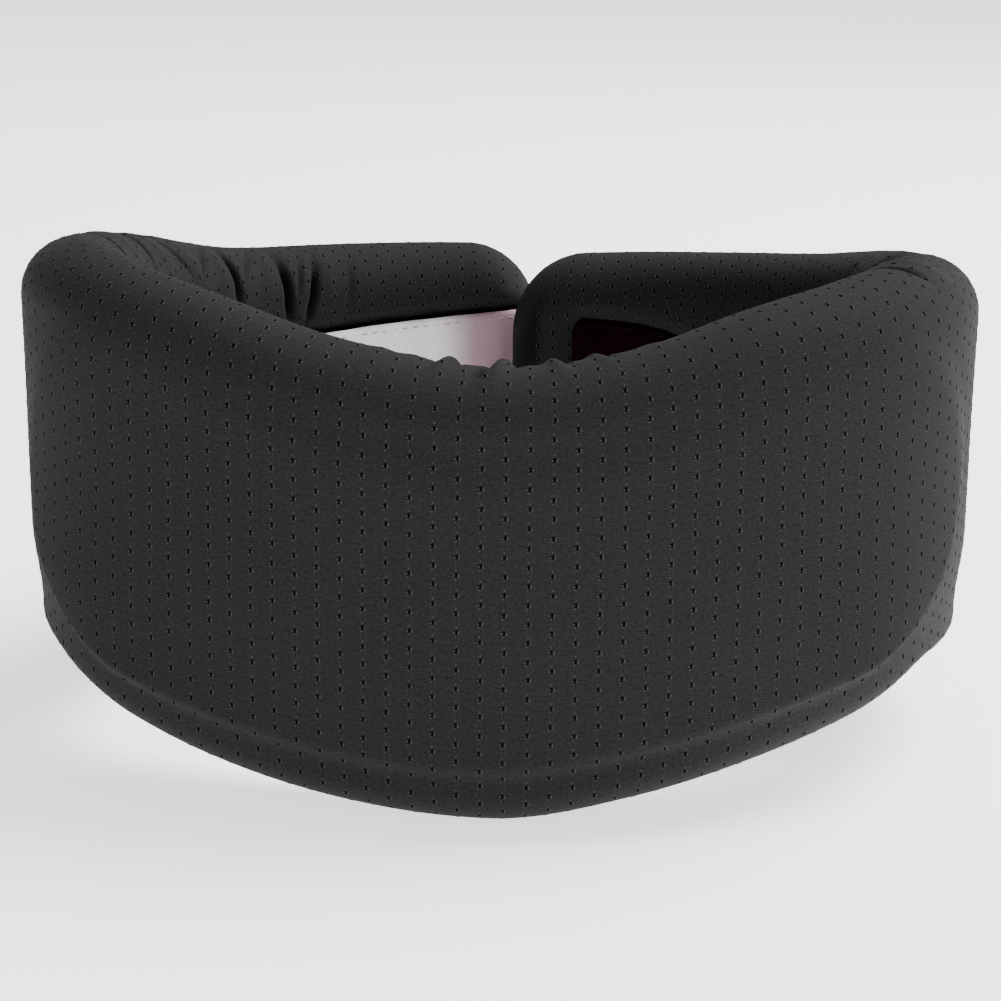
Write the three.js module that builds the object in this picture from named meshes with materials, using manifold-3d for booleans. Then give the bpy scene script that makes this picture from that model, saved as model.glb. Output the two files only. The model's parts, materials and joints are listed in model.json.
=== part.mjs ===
// Soft foam cervical collar: foam core, front support board, knitted cover,
// lining and closure patches. Millimetres, +Z up, the chin dip faces -Y.
//
// Every piece starts as a straight blank, an extrusion along the collar's
// length, and is then bent round the neck, as the real flat foam is. The foam,
// cover and lining are parted at the two places where the collar bends open.

import * as THREE from 'three';
import { mergeVertices } from 'three/addons/utils/BufferGeometryUtils.js';
import Module from 'manifold-3d';

const wasm = await Module();
wasm.setup();

// ---- driving dimensions ----------------------------------------------------

const THICKNESS = 22;          // foam and cover together
const COVER_WALL = 1.2;        // knitted cover
const GAP = 0.3;               // clearance between touching pieces
const RIM_HEIGHT = 16;         // cover rolled onto the inner face, top and bottom
const END_RIM = 9;             // the same at the free ends
const LINING_RECESS = 0.3;     // how far the lining lies behind the rolled rims
const BOARD_WALL = 1.6;
const PATCH_WALL = 1.0;

const CORNER_RADIUS = 15;      // round free ends, seen from the side
const END_RADIUS = 11;         // round free ends, seen from above
const END_FLAT = 0.35;         // share of the thickness left at the very end
const END_PAST_CENTRE = 2.5;   // each free end runs past the middle by this much
const HINGE_AT = 124;          // path length from the front centre to each bend
const BODY_GAP = 0.4;          // half the gap between two bodies at a bend
const FOOT = 0.9;              // how much the lowest stretches are flattened

const BOARD_HALF = 107;        // half length of the support board
const BOARD_ABOVE_EDGE = 11;   // its lower edge above the collar's lower edge
const BOARD_TOP = [62, 84];    // its upper edge at the centre and near the ends
const BOARD_RISE_LENGTH = 95;  // path length over which the upper edge rises
const BOARD_END_RADIUS = 27;

const HOOK_LENGTH = 70;        // pale patch on the inner face of the left end
const LOOP_LENGTH = 80;        // pile patch on the outer face of the right end
const LOOP_FROM_END = 13;

// Plan of the outer face from the front centre: [radius, turn in degrees].
const ARCS = {
  right: [[116, 36], [61, 62], [80, 50]],
  left: [[145, 29], [50, 55], [110, 36]],
};

// Heights of the top and bottom edges at shares of one side's length.
const STATIONS = [0, 0.2, 0.38, 0.7, 1];
const TOP_EDGE = { right: [85.5, 95, 100, 87.5, 82], left: [85.5, 95.5, 101.5, 88.5, 84.5] };
const BOTTOM_EDGE = { right: [0, 9.5, 20.5, 5.5, 0], left: [0, 8.5, 19.5, 5.5, 0] };

const STEP_LENGTH = 10;        // length of one facet along the collar
const ROUND_STEPS = 3;         // facets in a quarter of a rim
const CORNER_STEPS = 4;        // facets round a free end

// ---- the neck line ----------------------------------------------------------

// The arcs of one side, closed by a last arc that brings the end to the middle.
function sidePath(arcs) {
  const pieces = [];
  let length = 0;
  let x = 0;
  let y = 0;
  let heading = 0;
  const add = (radius, turn) => {
    pieces.push({ start: length, radius, heading, x, y });
    x += radius * (Math.sin(heading + turn) - Math.sin(heading));
    y += radius * (Math.cos(heading) - Math.cos(heading + turn));
    heading += turn;
    length += radius * turn;
  };
  for (const [radius, degrees] of arcs) add(radius, THREE.MathUtils.degToRad(degrees));
  add((x + END_PAST_CENTRE) / Math.sin(heading), Math.PI - heading);
  return { pieces, length };
}
const PATHS = { right: sidePath(ARCS.right), left: sidePath(ARCS.left) };
const LEFT_END = -PATHS.left.length;
const RIGHT_END = PATHS.right.length;

const sideOf = (s) => (s < 0 ? 'left' : 'right');

// The outer face at path length s, right side positive, and its outward direction.
function neckLine(s) {
  const q = Math.abs(s);
  const mirror = s < 0 ? -1 : 1;
  const arc = PATHS[sideOf(s)].pieces.findLast((piece) => q >= piece.start);
  const heading = arc.heading + (q - arc.start) / arc.radius;
  return {
    x: mirror * (arc.x + arc.radius * (Math.sin(heading) - Math.sin(arc.heading))),
    y: arc.y + arc.radius * (Math.cos(arc.heading) - Math.cos(heading)),
    outX: mirror * Math.sin(heading),
    outY: -Math.cos(heading),
  };
}

// ---- edges -------------------------------------------------------------------

function edgeCurve(heights) {
  const curve = new THREE.CubicInterpolant(STATIONS, heights, 1);
  curve.settings = { endingStart: THREE.ZeroSlopeEnding, endingEnd: THREE.ZeroSlopeEnding };
  return (share) => curve.evaluate(share)[0];
}
const EDGES = {};
for (const side of ['right', 'left']) {
  EDGES[side] = { top: edgeCurve(TOP_EDGE[side]), bottom: edgeCurve(BOTTOM_EDGE[side]) };
}

// How far a corner of the given radius has dropped at a distance from the end.
function cornerDrop(fromEnd, radius) {
  const into = THREE.MathUtils.clamp(radius - fromEnd, 0, radius);
  return radius - Math.sqrt(radius * radius - into * into);
}

// Top and bottom of the collar at path length s, and its share of the thickness.
function collarEdges(s) {
  const { length } = PATHS[sideOf(s)];
  const { top, bottom } = EDGES[sideOf(s)];
  const share = Math.min(Math.abs(s) / length, 1);
  const fromEnd = length - Math.abs(s);
  const corner = cornerDrop(fromEnd, CORNER_RADIUS);
  const round = cornerDrop(fromEnd, END_RADIUS) / END_RADIUS;
  return {
    top: top(share) - corner,
    bottom: Math.max(bottom(share) - FOOT, 0) + corner,
    thickness: 1 - (1 - END_FLAT) * round,
  };
}

// The support board's edges, grown by room on every side.
function boardEdges(s, room) {
  const rise = THREE.MathUtils.smoothstep(Math.abs(s), 0, BOARD_RISE_LENGTH);
  const corner = cornerDrop(BOARD_HALF + room - Math.abs(s), BOARD_END_RADIUS);
  return {
    top: THREE.MathUtils.lerp(...BOARD_TOP, rise) + room - corner,
    bottom: collarEdges(s).bottom + BOARD_ABOVE_EDGE - room + corner,
    thickness: 1,
  };
}

// ---- facets along the collar -----------------------------------------------------

// Path lengths where a piece ends, so that neighbours share every facet.
const CUTS = [
  LEFT_END, LEFT_END + COVER_WALL, LEFT_END + COVER_WALL + GAP, LEFT_END + END_RIM,
  LEFT_END + END_RIM + GAP, LEFT_END + END_RIM + HOOK_LENGTH, LEFT_END + END_RIM + HOOK_LENGTH + GAP,
  -HINGE_AT - BODY_GAP, -HINGE_AT + BODY_GAP, -BOARD_HALF - GAP, -BOARD_HALF,
  BOARD_HALF, BOARD_HALF + GAP, HINGE_AT - BODY_GAP, HINGE_AT + BODY_GAP,
  RIGHT_END - LOOP_FROM_END - LOOP_LENGTH, RIGHT_END - LOOP_FROM_END,
  RIGHT_END - END_RIM - GAP, RIGHT_END - END_RIM,
  RIGHT_END - COVER_WALL - GAP, RIGHT_END - COVER_WALL, RIGHT_END,
];

function facetStations() {
  const stations = [...CUTS];
  const add = (s) => {
    const clear = CUTS.every((cut) => Math.abs(cut - s) > STEP_LENGTH / 5);
    if (clear && s > LEFT_END && s < RIGHT_END) stations.push(s);
  };
  const rightStart = RIGHT_END - CORNER_RADIUS;
  const leftStart = LEFT_END + CORNER_RADIUS;
  const count = Math.ceil((rightStart - leftStart) / STEP_LENGTH);
  for (let i = 0; i <= count; i++) add(THREE.MathUtils.lerp(leftStart, rightStart, i / count));
  for (let i = 1; i < CORNER_STEPS; i++) {
    const along = CORNER_RADIUS * Math.sin((Math.PI / 2) * (i / CORNER_STEPS));
    add(rightStart + along);
    add(leftStart - along);
  }
  for (const side of [-1, 1]) {
    for (let i = 1; i < CORNER_STEPS; i++) {
      const into = BOARD_END_RADIUS * (1 - Math.sin((Math.PI / 2) * (i / CORNER_STEPS)));
      add(side * (BOARD_HALF - into));
    }
  }
  return stations.sort((a, b) => a - b);
}
const FACETS = facetStations();

// ---- blanks and bending --------------------------------------------------------

const HALF = THICKNESS / 2;
const BLANK_HALF = 30;         // half the height of a blank before it is stretched
const LIP = BLANK_HALF - RIM_HEIGHT;

// A straight bar of the given section, bent to the neck from path length a to b.
// Section x runs from the mid-thickness inwards, section y up from mid-height;
// the upper half is carried to the top edge and the lower half to the bottom one.
function bent(section, a, b, edges = collarEdges) {
  const path = FACETS.filter((s) => s >= a && s <= b);
  const steps = path.length - 1;
  const blank = new THREE.ExtrudeGeometry(section, { depth: 1, steps, bevelEnabled: false });
  const position = blank.getAttribute('position');
  for (let i = 0; i < position.count; i++) {
    const s = path[Math.round(position.getZ(i) * steps)];
    const line = neckLine(s);
    const room = edges(s);
    const inwards = HALF + position.getX(i) * room.thickness;
    const y = position.getY(i);
    const z = y > 0 ? room.top + y - BLANK_HALF : room.bottom + y + BLANK_HALF;
    position.setXYZ(i, line.x - line.outX * inwards, line.y - line.outY * inwards, z);
  }
  return closedMesh(blank);
}

function closedMesh(geometry) {
  geometry.deleteAttribute('normal');
  geometry.deleteAttribute('uv');
  const merged = mergeVertices(geometry, 1e-4);
  merged.computeVertexNormals();
  return merged;
}

function toSolid(geometry) {
  return new wasm.Manifold(new wasm.Mesh({
    numProp: 3,
    vertProperties: new Float32Array(geometry.getAttribute('position').array),
    triVerts: new Uint32Array(geometry.index.array),
  }));
}

function toGeometry(solid) {
  const mesh = solid.getMesh();
  const geometry = new THREE.BufferGeometry();
  geometry.setAttribute('position', new THREE.BufferAttribute(mesh.vertProperties, 3));
  geometry.setIndex(new THREE.BufferAttribute(mesh.triVerts, 1));
  geometry.computeVertexNormals();
  return geometry;
}

// ---- sections -------------------------------------------------------------------

// The collar's full-round section, drawn in by inset.
function roundSection(inset) {
  const half = HALF - inset;
  const middle = BLANK_HALF - inset - half;
  const shape = new THREE.Shape();
  for (let i = 0; i <= 2 * ROUND_STEPS + 1; i++) {
    const turn = (Math.PI / (2 * ROUND_STEPS + 1)) * i;
    const flatTop = i === ROUND_STEPS || i === ROUND_STEPS + 1;
    const rise = flatTop ? half : half * Math.sin(turn);
    shape[i ? 'lineTo' : 'moveTo'](half * Math.cos(turn), middle + rise);
  }
  for (let i = 0; i <= 2 * ROUND_STEPS + 1; i++) {
    const turn = (Math.PI / (2 * ROUND_STEPS + 1)) * i;
    const flatBottom = i === ROUND_STEPS || i === ROUND_STEPS + 1;
    const drop = flatBottom ? half : half * Math.sin(turn);
    shape.lineTo(-half * Math.cos(turn), -middle - drop);
  }
  shape.closePath();
  return shape;
}

// An upright flat strip between two depths, ending short of the blank's edges.
function stripSection(outer, inner, halfHeight) {
  const shape = new THREE.Shape();
  shape.moveTo(outer, -halfHeight);
  shape.lineTo(inner, -halfHeight);
  shape.lineTo(inner, halfHeight);
  shape.lineTo(outer, halfHeight);
  shape.closePath();
  return shape;
}

// ---- pieces -----------------------------------------------------------------------

const BOARD_FACE = -HALF + COVER_WALL + GAP;

function foamGeometry(a, b) {
  return bent(roundSection(COVER_WALL + GAP), a, b);
}

// The front foam is pressed back where the support board lies against it.
function frontFoamGeometry(a, b) {
  const recess = stripSection(-HALF, BOARD_FACE + BOARD_WALL + GAP, BLANK_HALF);
  const end = BOARD_HALF + GAP;
  const pressed = toSolid(bent(recess, -end, end, (s) => boardEdges(s, GAP)));
  return toGeometry(toSolid(foamGeometry(a, b)).subtract(pressed));
}

function boardGeometry() {
  const section = stripSection(BOARD_FACE, BOARD_FACE + BOARD_WALL, BLANK_HALF);
  return bent(section, -BOARD_HALF, BOARD_HALF, (s) => boardEdges(s, 0));
}

// A tube of knit, open on the inner face between the rolled rims.
function coverGeometry([a, b], [hollowA, hollowB], [windowA, windowB]) {
  const outside = toSolid(bent(roundSection(0), a, b));
  const hollow = toSolid(bent(roundSection(COVER_WALL), hollowA, hollowB));
  const opening = stripSection(HALF - COVER_WALL - GAP, HALF + COVER_WALL, LIP);
  const window = toSolid(bent(opening, windowA, windowB));
  return toGeometry(outside.subtract(hollow).subtract(window));
}

function liningGeometry(a, b) {
  return bent(stripSection(HALF - COVER_WALL, HALF - LINING_RECESS, LIP - GAP), a, b);
}

function loopPatchGeometry() {
  const section = stripSection(-HALF - GAP - PATCH_WALL, -HALF - GAP, BLANK_HALF - HALF);
  return bent(section, RIGHT_END - LOOP_FROM_END - LOOP_LENGTH, RIGHT_END - LOOP_FROM_END);
}

// ---- materials ---------------------------------------------------------------------

const cloth = (color, roughness) => new THREE.MeshStandardMaterial({ color, roughness, metalness: 0 });
const knit = () => cloth(0x2c2c2d, 0.85);
const foam = () => cloth(0xd8d2c0, 0.95);
const board = () => cloth(0xe4e2dc, 0.5);
const lining = () => cloth(0x1c1216, 0.95);
const hook = () => cloth(0xe2dcd8, 0.7);
const pile = () => cloth(0x151214, 0.95);

// ---- assembly -----------------------------------------------------------------------

const collar = new THREE.Group();

function addPiece(name, geometry, material) {
  const mesh = new THREE.Mesh(geometry, material);
  mesh.name = name;
  collar.add(mesh);
}

const FRONT = [-HINGE_AT + BODY_GAP, HINGE_AT - BODY_GAP];
const LEFT = [LEFT_END, -HINGE_AT - BODY_GAP];
const RIGHT = [HINGE_AT + BODY_GAP, RIGHT_END];

addPiece('foam_front', frontFoamGeometry(...FRONT), foam());
addPiece('foam_left', foamGeometry(LEFT_END + COVER_WALL + GAP, LEFT[1]), foam());
addPiece('foam_right', foamGeometry(RIGHT[0], RIGHT_END - COVER_WALL - GAP), foam());
addPiece('support_board', boardGeometry(), board());

// Each hollow and window runs on past the open end of its cover.
const pastFront = [LEFT[1], RIGHT[0]];
addPiece('cover_front', coverGeometry(FRONT, pastFront, pastFront), knit());
const leftHollow = [LEFT_END + COVER_WALL, FRONT[0]];
const leftWindow = [LEFT_END + END_RIM, FRONT[0]];
addPiece('cover_left', coverGeometry(LEFT, leftHollow, leftWindow), knit());
const rightHollow = [FRONT[1], RIGHT_END - COVER_WALL];
const rightWindow = [FRONT[1], RIGHT_END - END_RIM];
addPiece('cover_right', coverGeometry(RIGHT, rightHollow, rightWindow), knit());

const hookEnd = LEFT_END + END_RIM + HOOK_LENGTH;
addPiece('lining_front', liningGeometry(...FRONT), lining());
addPiece('lining_left', liningGeometry(hookEnd + GAP, LEFT[1]), lining());
addPiece('lining_right', liningGeometry(RIGHT[0], RIGHT_END - END_RIM - GAP), lining());
addPiece('hook_patch', liningGeometry(LEFT_END + END_RIM + GAP, hookEnd), hook());
addPiece('loop_patch', loopPatchGeometry(), pile());

// The origin is on the standing surface, in the middle of the collar's box.
const box = new THREE.Box3().setFromObject(collar);
const middle = box.getCenter(new THREE.Vector3());
collar.position.set(-middle.x, -middle.y, 0);

export default collar;
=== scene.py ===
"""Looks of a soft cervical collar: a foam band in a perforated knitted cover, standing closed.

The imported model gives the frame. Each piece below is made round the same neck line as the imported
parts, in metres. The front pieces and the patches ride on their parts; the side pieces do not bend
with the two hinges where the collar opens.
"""

import json
import math

import bmesh
import bpy
import numpy as np
from mathutils import Matrix, Vector


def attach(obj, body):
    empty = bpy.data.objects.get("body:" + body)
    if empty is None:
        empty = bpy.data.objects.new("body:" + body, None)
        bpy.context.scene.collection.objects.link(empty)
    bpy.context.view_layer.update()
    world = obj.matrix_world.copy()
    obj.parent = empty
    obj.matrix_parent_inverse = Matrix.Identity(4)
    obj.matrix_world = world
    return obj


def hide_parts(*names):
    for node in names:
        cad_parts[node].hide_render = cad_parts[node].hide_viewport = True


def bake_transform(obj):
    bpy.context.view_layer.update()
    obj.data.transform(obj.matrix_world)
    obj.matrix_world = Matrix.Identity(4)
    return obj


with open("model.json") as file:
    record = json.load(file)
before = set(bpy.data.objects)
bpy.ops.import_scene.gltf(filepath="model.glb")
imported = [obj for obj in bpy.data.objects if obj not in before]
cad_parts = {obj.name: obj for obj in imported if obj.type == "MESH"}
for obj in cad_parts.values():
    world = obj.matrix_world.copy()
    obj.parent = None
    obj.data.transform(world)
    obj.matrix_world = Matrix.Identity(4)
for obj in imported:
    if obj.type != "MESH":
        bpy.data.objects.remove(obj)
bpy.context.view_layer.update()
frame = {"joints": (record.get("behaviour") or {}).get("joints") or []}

bl_info = {
    "name": "Soft cervical collar",
    "version": (1, 0, 0),
    "blender": (4, 5, 0),
    "location": "3D View > Sidebar > Collar",
    "description": "Builds the cover, lining, patches and core of a soft cervical collar",
    "category": "Object",
}

MM = 0.001
LEFT, FRONT, RIGHT = "left", "front", "right"
BODIES = {LEFT: "left_wing", FRONT: "front", RIGHT: "right_wing"}
JOINTS = {joint["name"]: joint for joint in frame["joints"]}

# ---- the neck line --------------------------------------------------------------------------

ARCS = {                       # (radius, turn in degrees) of the outer face, from the front centre
    1: [(116 * MM, 36), (61 * MM, 62), (80 * MM, 50)],
    -1: [(145 * MM, 29), (50 * MM, 55), (110 * MM, 36)],
}
END_PAST_CENTRE = 2.5 * MM
HINGE_AT = 124 * MM
PART_AT = 92 * MM              # where the front pieces meet the side pieces
STATIONS = [0, 0.1, 0.2, 0.3, 0.38, 0.54, 0.7, 0.85, 1]
TOP_EDGE = {                   # heights in mm at the stations, right and left
    1: [85.5, 88.5, 95, 98.9, 99.3, 96.0, 89.8, 86.8, 84.8],
    -1: [85.5, 89.0, 95.7, 100.6, 101.2, 96.0, 87.3, 84.9, 84.3],
}
BOTTOM_EDGE = {
    1: [0.9, 4.8, 10.1, 15.4, 18.4, 13.6, 4.6, 0.3, -0.9],
    -1: [0.9, 2.8, 8.2, 15.6, 18.6, 13.3, 4.6, 0.3, -0.9],
}
BEND_LEVEL = 50 * MM
HALF_THICKNESS = 11 * MM
TIP_HALF_THICKNESS = 0.15 * MM  # the two faces meet here at the free ends
RIM = 11 * MM                  # height of the full-round top rim
LOW_RIM = 7.5 * MM             # height of the flatter bottom rim
CORNER = 19 * MM               # round free ends, seen from the side


def side_path(arcs):
    """The arcs of one side as (start, radius, heading, x, y), closed by an arc to the middle."""
    pieces, length, x, y, heading = [], 0.0, 0.0, 0.0, 0.0
    for radius, degrees in arcs:
        turn = math.radians(degrees)
        pieces.append((length, radius, heading, x, y))
        x += radius * (math.sin(heading + turn) - math.sin(heading))
        y += radius * (math.cos(heading) - math.cos(heading + turn))
        heading += turn
        length += radius * turn
    radius = (x + END_PAST_CENTRE) / math.sin(heading)
    pieces.append((length, radius, heading, x, y))
    return np.array(pieces), length + radius * (math.pi - heading)


PATHS = {side: side_path(arcs) for side, arcs in ARCS.items()}
LENGTH = {side: PATHS[side][1] for side in PATHS}


def plan(s):
    """Places on the outer face and outward directions at path lengths s, right side positive."""
    s = np.asarray(s, float)
    spots = np.zeros(s.shape + (2,))
    outward = np.zeros(s.shape + (2,))
    for side, (pieces, _) in PATHS.items():
        here = (s < 0) if side < 0 else (s >= 0)
        q = np.abs(s[here])
        start, radius, heading, x, y = pieces[np.searchsorted(pieces[:, 0], q, "right") - 1].T
        turned = heading + (q - start) / radius
        spots[here, 0] = side * (x + radius * (np.sin(turned) - np.sin(heading)))
        spots[here, 1] = y + radius * (np.cos(heading) - np.cos(turned))
        outward[here, 0] = side * np.sin(turned)
        outward[here, 1] = -np.cos(turned)
    return spots, outward


HINGE_SPOT = Vector(JOINTS["right_opening"]["pos_m"][:2])
SHIFT = np.array(HINGE_SPOT) - plan(np.array([HINGE_AT]))[0][0]


def smooth_curve(heights, share):
    """A smooth curve through heights at STATIONS, level at both ends."""
    t = np.array(STATIONS, float)
    v = np.array(heights, float) * MM
    slope = np.zeros(len(t))
    slope[1:-1] = (v[2:] - v[:-2]) / (t[2:] - t[:-2])
    i = np.clip(np.searchsorted(t, share, "right") - 1, 0, len(t) - 2)
    width = t[i + 1] - t[i]
    u = (share - t[i]) / width
    rise = v[i] * (1 - u * u * (3 - 2 * u)) + v[i + 1] * u * u * (3 - 2 * u)
    return rise + width * (u * (1 - u) ** 2 * slope[i] - u * u * (1 - u) * slope[i + 1])


def by_side(s, table):
    """Values at path lengths s of the left and right curves in a table."""
    s = np.asarray(s, float)
    share = np.where(s < 0, np.abs(s) / LENGTH[-1], np.abs(s) / LENGTH[1]).clip(0, 1)
    return np.where(s < 0, smooth_curve(table[-1], share), smooth_curve(table[1], share))


def from_end(s):
    return np.where(np.asarray(s) < 0, LENGTH[-1], LENGTH[1]) - np.abs(s)


def corner_drop(distance, radius):
    into = np.clip(radius - distance, 0, radius)
    return radius - np.sqrt(radius * radius - into * into)


def smoothstep(low, high, value):
    t = np.clip((value - low) / (high - low), 0, 1)
    return t * t * (3 - 2 * t)


def edges(s):
    """Bottom and top height, and half thickness, at path lengths s."""
    drop = corner_drop(from_end(s), CORNER)
    bottom = np.maximum(by_side(s, BOTTOM_EDGE), 0) + drop
    top = by_side(s, TOP_EDGE) - drop
    half = HALF_THICKNESS - corner_drop(from_end(s), HALF_THICKNESS)
    return bottom, top, np.maximum(half, TIP_HALF_THICKNESS)


def place(s, inwards, z):
    """Points in the frame at path length s, a distance inwards of the outer face, and height z."""
    spots, outward = plan(s)
    flat = spots + SHIFT - outward * np.asarray(inwards)[..., None]
    return np.concatenate([flat, np.asarray(z)[..., None]], -1)


# ---- sizes and colours a user may change -------------------------------------------------------


def length_property(name, default, description):
    return bpy.props.FloatProperty(
        name=name, description=description, default=default, min=0, unit="LENGTH", precision=5
    )


def colour_property(name, default, description):
    return bpy.props.FloatVectorProperty(
        name=name, description=description, default=default, min=0, max=1, subtype="COLOR", size=3
    )


class CollarSizes(bpy.types.PropertyGroup):
    mesh_step: length_property("Mesh step", 1.25 * MM, "Length of one facet of the cover")
    recess: length_property("Lining recess", 3.0 * MM, "Depth of the lining behind the rims")
    rim: length_property("Rim height", 16 * MM, "Cover rolled onto the inner face")
    left_end_rim: length_property("Left end rim", 3.5 * MM, "The same at the left free end")
    right_end_rim: length_property("Right end rim", 18 * MM, "The same at the right free end")
    board_rise: length_property("Board rise", 2.4 * MM, "How far the board lifts the knit")
    column_pitch: length_property("Column pitch", 4.19 * MM, "Between columns of perforations")
    row_pitch: length_property("Row pitch", 3.5 * MM, "Between perforations in a column")
    course_pitch: length_property("Course pitch", 0.48 * MM, "Between courses of the knit")
    hole_width: length_property("Hole width", 0.50 * MM, "Width of one perforation")
    hole_height: length_property("Hole height", 1.12 * MM, "Height of one perforation")
    hook_length: length_property("Hook patch length", 70 * MM, "Patch inside the left end")
    loop_length: length_property("Loop patch length", 80 * MM, "Patch outside the right end")
    stitch_pitch: length_property("Stitch pitch", 2.6 * MM, "Length of one stitch and its gap")


class CollarColours(bpy.types.PropertyGroup):
    knit: colour_property("Knit", (0.0121, 0.0116, 0.0121), "Charcoal yarn of the cover")
    lining: colour_property("Lining", (0.0080, 0.0007, 0.0048), "Dark brushed lining")
    hook: colour_property("Hook tape", (0.96, 0.94, 0.91), "Pale patch in the left end")
    pile: colour_property("Loop pile", (0.010, 0.010, 0.011), "Patch on the right end")
    foam: colour_property("Foam", (0.66, 0.62, 0.50), "Foam core")
    board: colour_property("Board", (0.75, 0.74, 0.70), "Support board")
    floor: colour_property("Floor", (0.90, 0.90, 0.90), "Studio floor")


def sizes():
    return bpy.context.scene.collar_sizes


def colours():
    return bpy.context.scene.collar_colours


# ---- material nodes -----------------------------------------------------------------------------


class Nodes:
    """Short calls that add and join the nodes of one tree."""

    def __init__(self, tree):
        self.tree = tree

    def add(self, kind, settings=(), **inputs):
        node = self.tree.nodes.new(kind)
        for key, value in dict(settings).items():
            setattr(node, key, value)
        for key, value in inputs.items():
            self.feed(node.inputs[key.replace("_", " ")], value)
        return node

    def feed(self, socket, value):
        if isinstance(value, bpy.types.NodeSocket):
            self.tree.links.new(value, socket)
        else:
            socket.default_value = value

    def maths(self, operation, a, b=0.0, c=0.0):
        node = self.add("ShaderNodeMath", {"operation": operation})
        for socket, value in zip(node.inputs, (a, b, c)):
            self.feed(socket, value)
        return node.outputs[0]

    def vector(self, operation, a, b):
        node = self.add("ShaderNodeVectorMath", {"operation": operation})
        self.feed(node.inputs[0], a)
        self.feed(node.inputs[1], b)
        return node.outputs[0]

    def scaled(self, vector, factor):
        node = self.add("ShaderNodeVectorMath", {"operation": "SCALE"}, Scale=factor)
        self.feed(node.inputs[0], vector)
        return node.outputs[0]

    def over(self, value, limit):
        node = self.add("FunctionNodeCompare", {"operation": "GREATER_THAN"})
        self.feed(node.inputs[0], value)
        self.feed(node.inputs[1], limit)
        return node.outputs[0]

    def both(self, a, b):
        node = self.add("FunctionNodeBooleanMath", {"operation": "AND"})
        self.feed(node.inputs[0], a)
        self.feed(node.inputs[1], b)
        return node.outputs[0]

    def attribute(self, name, kind="FLOAT"):
        node = self.add("GeometryNodeInputNamedAttribute", {"data_type": kind}, Name=name)
        return node.outputs[0]

    def random_vector(self, low, high, seed):
        node = self.add("FunctionNodeRandomValue", {"data_type": "FLOAT_VECTOR"}, Seed=seed)
        self.feed(node.inputs[0], low)
        self.feed(node.inputs[1], high)
        return node.outputs[0]

    def on_cloth(self, surface, value, spot):
        """A value read from the surface at a place on its cloth, and whether there is any."""
        kind = "FLOAT" if value.type == "VALUE" else "FLOAT_VECTOR"
        node = self.add("GeometryNodeSampleUVSurface", {"data_type": kind}, Mesh=surface)
        self.feed(node.inputs[1], value)
        self.feed(node.inputs[2], self.attribute(CLOTH_UV, "FLOAT_VECTOR"))
        self.feed(node.inputs[3], spot)
        return node.outputs[0], node.outputs[1]


class Shader(Nodes):
    """A node material with one Principled shader, built by short calls."""

    def __init__(self, name, colour, roughness, sheen=0.0, specular=0.3):
        self.material = bpy.data.materials.new(name)
        self.material.use_nodes = True
        super().__init__(self.material.node_tree)
        self.shader = self.tree.nodes["Principled BSDF"]
        self.shader.inputs["Base Color"].default_value = (*colour, 1)
        self.shader.inputs["Roughness"].default_value = roughness
        self.shader.inputs["Specular IOR Level"].default_value = specular
        self.shader.inputs["Sheen Weight"].default_value = sheen
        self.shader.inputs["Sheen Roughness"].default_value = 0.6
        self.material.diffuse_color = (*colour, 1)

    def band(self, value, low, high, start=0.0, end=1.0):
        node = self.add("ShaderNodeMapRange", {"interpolation_type": "SMOOTHSTEP"}, Value=value)
        self.feed(node.inputs["From Min"], low)
        self.feed(node.inputs["From Max"], high)
        self.feed(node.inputs["To Min"], start)
        self.feed(node.inputs["To Max"], end)
        return node.outputs["Result"]

    def noise(self, vector, scale, detail=2.0, roughness=0.5):
        node = self.add("ShaderNodeTexNoise", Vector=vector, Scale=scale, Detail=detail)
        node.inputs["Roughness"].default_value = roughness
        return node.outputs["Fac"]

    def tint(self, colour, factor, low, high):
        """The colour made darker or lighter by a factor that runs from low to high."""
        node = self.add("ShaderNodeMix", {"data_type": "RGBA"})
        self.feed(node.inputs[0], factor)
        self.feed(node.inputs[6], (*(c * low for c in colour), 1))
        self.feed(node.inputs[7], (*(min(c * high, 1) for c in colour), 1))
        return node.outputs[2]

    def colour(self, socket):
        self.feed(self.shader.inputs["Base Color"], socket)

    def rough(self, socket):
        self.feed(self.shader.inputs["Roughness"], socket)

    def bump(self, height, distance, strength=1.0):
        node = self.add("ShaderNodeBump", Height=height, Distance=distance, Strength=strength)
        self.feed(self.shader.inputs["Normal"], node.outputs["Normal"])


CLOTH_UV = "Cloth"


def cloth_uv(shader):
    """The cloth's own coordinates in metres: along the collar, and up round it."""
    uv = shader.add("ShaderNodeUVMap", {"uv_map": CLOTH_UV})
    split = shader.add("ShaderNodeSeparateXYZ", Vector=uv.outputs["UV"])
    return uv.outputs["UV"], split.outputs["X"], split.outputs["Y"]


def wave(shader, value, pitch, phase=0.0):
    """A cosine of the given pitch, from -1 to 1."""
    turns = shader.maths("MULTIPLY_ADD", value, math.tau / pitch, phase)
    return shader.maths("COSINE", turns)


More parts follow.
